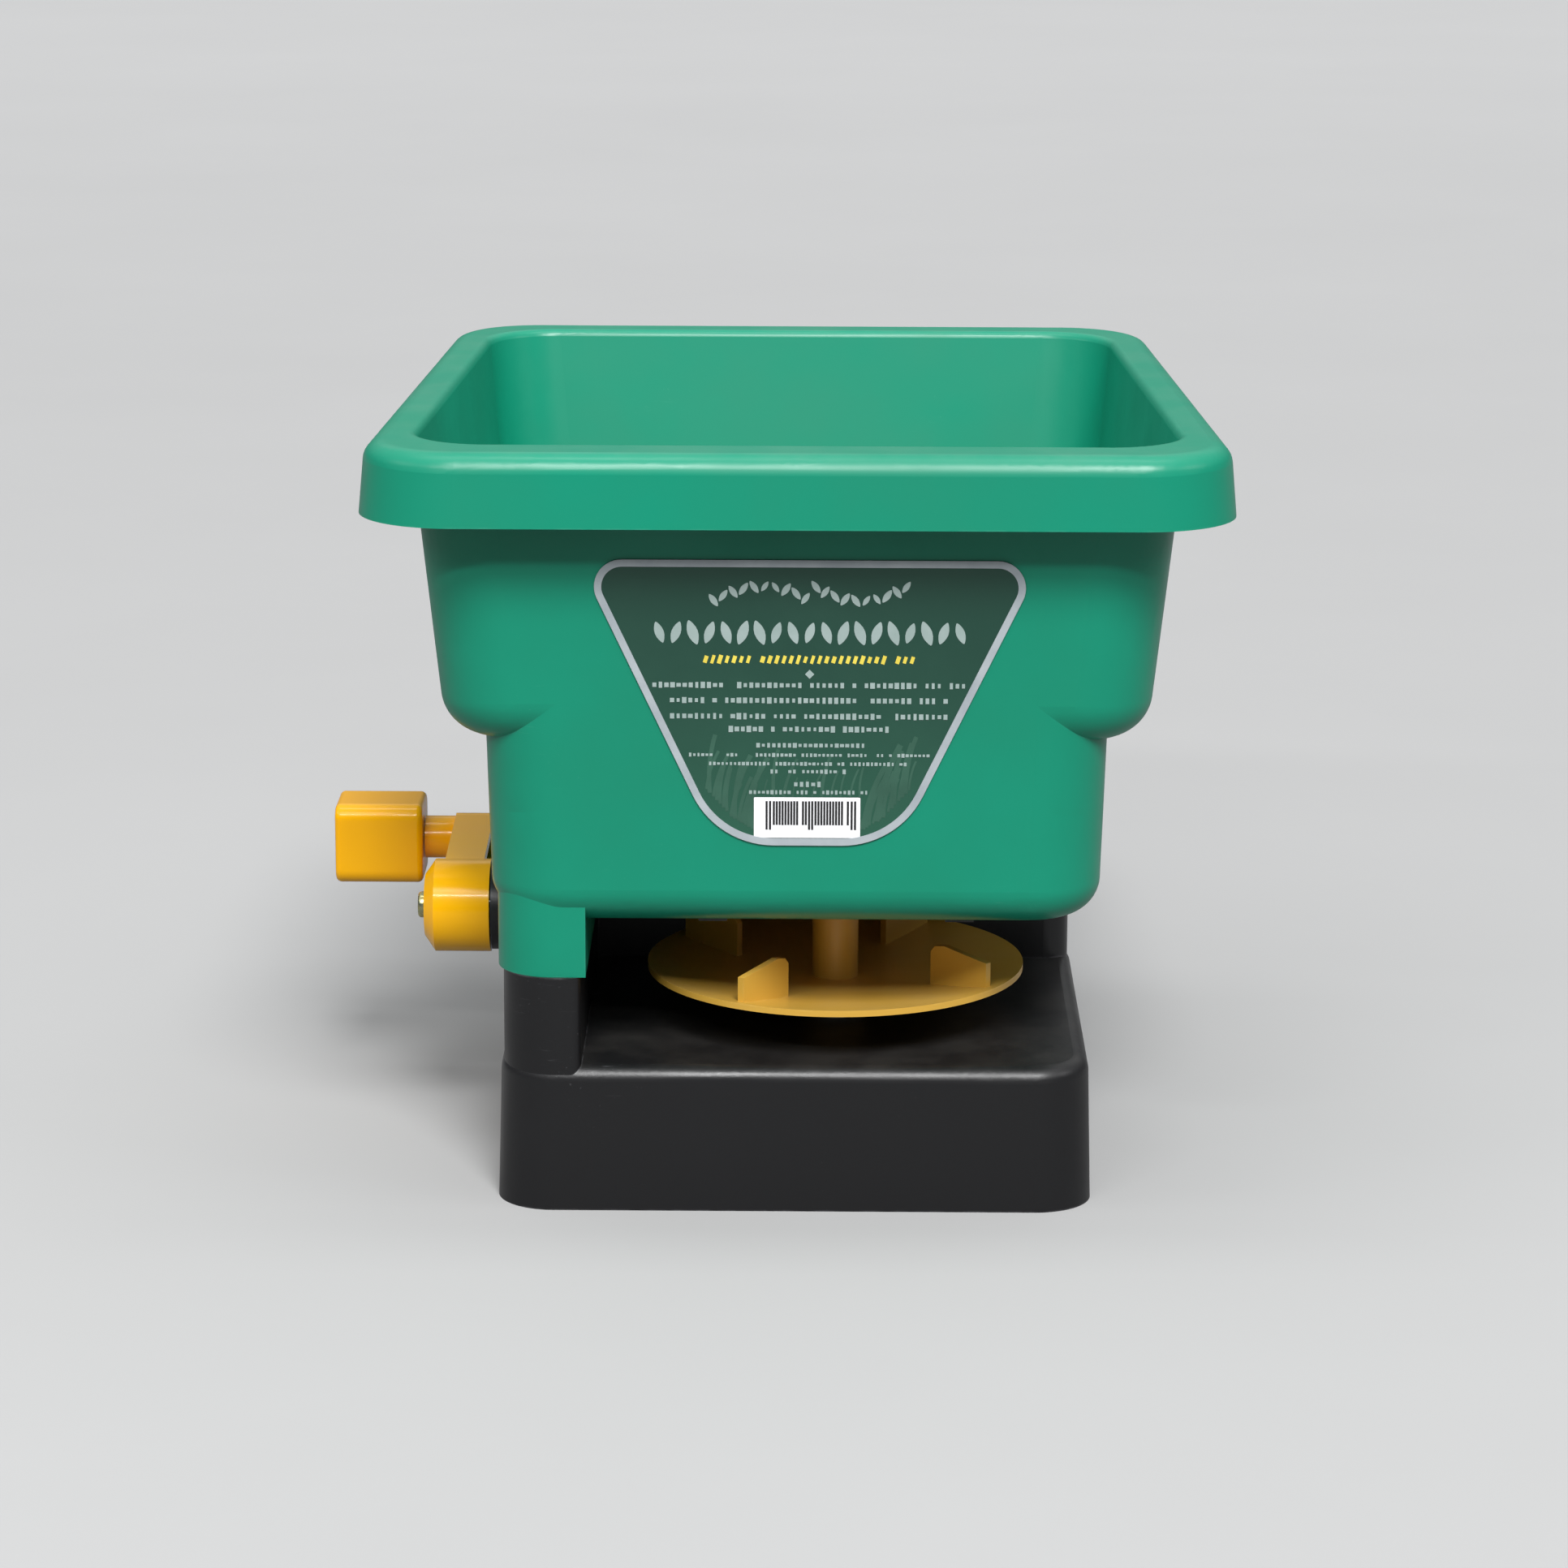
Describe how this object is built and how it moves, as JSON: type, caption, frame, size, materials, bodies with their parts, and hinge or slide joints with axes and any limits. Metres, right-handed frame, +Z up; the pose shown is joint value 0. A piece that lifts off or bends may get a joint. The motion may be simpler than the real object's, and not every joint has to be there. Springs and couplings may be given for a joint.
{
  "type": "hand-held spreader",
  "caption": "Hand-cranked broadcast spreader with a stepped open hopper, geared yellow impeller, trigger-worked outlet gate, pistol grip and forearm trough.",
  "frame": {"origin": "on the ground in the middle of the base's footprint", "axes": "+Z up, +Y back towards the grip, +X to the side opposite the crank"},
  "size_m": [0.2725, 0.4056, 0.2295],
  "materials": {
    "green_plastic": "satin",
    "black_plastic": "fine grain",
    "yellow_gloss": "glossy",
    "yellow_satin": "satin",
    "grey_nylon": "satin",
    "steel": "bright",
    "zinc_screw": "yellow zinc",
    "rubber": "matte",
    "label_film": "printed film"
  },
  "bodies": {
    "frame": {"hopper": "green_plastic", "base_shell": "black_plastic", "bottom_cover": "black_plastic", "hopper_screws": "zinc_screw", "cover_screws": "zinc_screw", "idler_pin": "steel", "deck_bush": "grey_nylon", "floor_bush": "grey_nylon", "crank_bush": "black_plastic", "gate_guides": "black_plastic", "handle_left": "black_plastic", "handle_right": "black_plastic", "handle_screws": "zinc_screw", "neck_screws": "zinc_screw", "handle_foot": "rubber", "trigger_pin": "steel", "arm_support": "black_plastic", "arm_pad": "rubber", "arm_pin": "steel", "label": "label_film"},
    "crank": {"crank_shaft": "steel", "crank_arm": "yellow_gloss", "crank_screw": "zinc_screw", "knob_pin": "steel", "drive_gear": "grey_nylon"},
    "knob": {"crank_knob": "yellow_gloss"},
    "idler": {"idler_gear": "grey_nylon"},
    "cross": {"cross_shaft": "steel", "cross_gear": "grey_nylon", "crown_gear": "grey_nylon"},
    "rotor": {"spindle": "steel", "spindle_pinion": "grey_nylon", "impeller": "yellow_satin", "agitator": "yellow_satin"},
    "gate": {"gate_plate": "yellow_satin", "link_rod": "steel", "link_rivet": "steel"},
    "trigger": {"trigger": "yellow_gloss", "link_pin": "steel", "trigger_spring": "steel"},
    "dial": {"rate_dial": "yellow_gloss", "rate_cam": "grey_nylon", "cam_screw": "zinc_screw"}
  },
  "joints": [
    {"name": "crank_spin", "type": "hinge", "parent": "frame", "child": "crank", "pos_m": [-0.08, 0.008, 0.071], "axis": [1, 0, 0], "continuous": true},
    {"name": "knob_spin", "type": "hinge", "parent": "crank", "child": "knob", "pos_m": [-0.132, 0.05822, 0.07986], "axis": [1, 0, 0], "continuous": true},
    {"name": "idler_spin", "type": "hinge", "parent": "frame", "child": "idler", "pos_m": [-0.079, 0.00317, 0.04139], "axis": [1, 0, 0], "continuous": true},
    {"name": "cross_spin", "type": "hinge", "parent": "frame", "child": "cross", "pos_m": [-0.04, -0.013, 0.024], "axis": [1, 0, 0], "continuous": true},
    {"name": "impeller_spin", "type": "hinge", "parent": "frame", "child": "rotor", "pos_m": [0.012, -0.013, 0.05], "axis": [0, 0, 1], "continuous": true},
    {"name": "trigger_pull", "type": "hinge", "parent": "frame", "child": "trigger", "pos_m": [0, 0.12, 0.112], "axis": [1, 0, 0], "range_deg": [0, 20], "stiffness_Nm_per_rad": 0.6, "springref_deg": -20.05, "deforming": ["trigger_spring"]},
    {"name": "gate_slide", "type": "slide", "parent": "frame", "child": "gate", "axis": [0, 1, 0], "range_m": [0, 0.0096]},
    {"name": "dial_turn", "type": "hinge", "parent": "frame", "child": "dial", "pos_m": [0.015, 0.097, 0.11], "axis": [1, 0, 0], "range_deg": [0, 270]}
  ],
  "couplings": [
    {"joint": "idler_spin", "follows": "crank_spin", "ratio": -0.84615},
    {"joint": "cross_spin", "follows": "crank_spin", "ratio": 1.8333},
    {"joint": "impeller_spin", "follows": "crank_spin", "ratio": 4.0333},
    {"joint": "gate_slide", "follows": "trigger_pull", "m_per_rad": 0.0272}
  ]
}
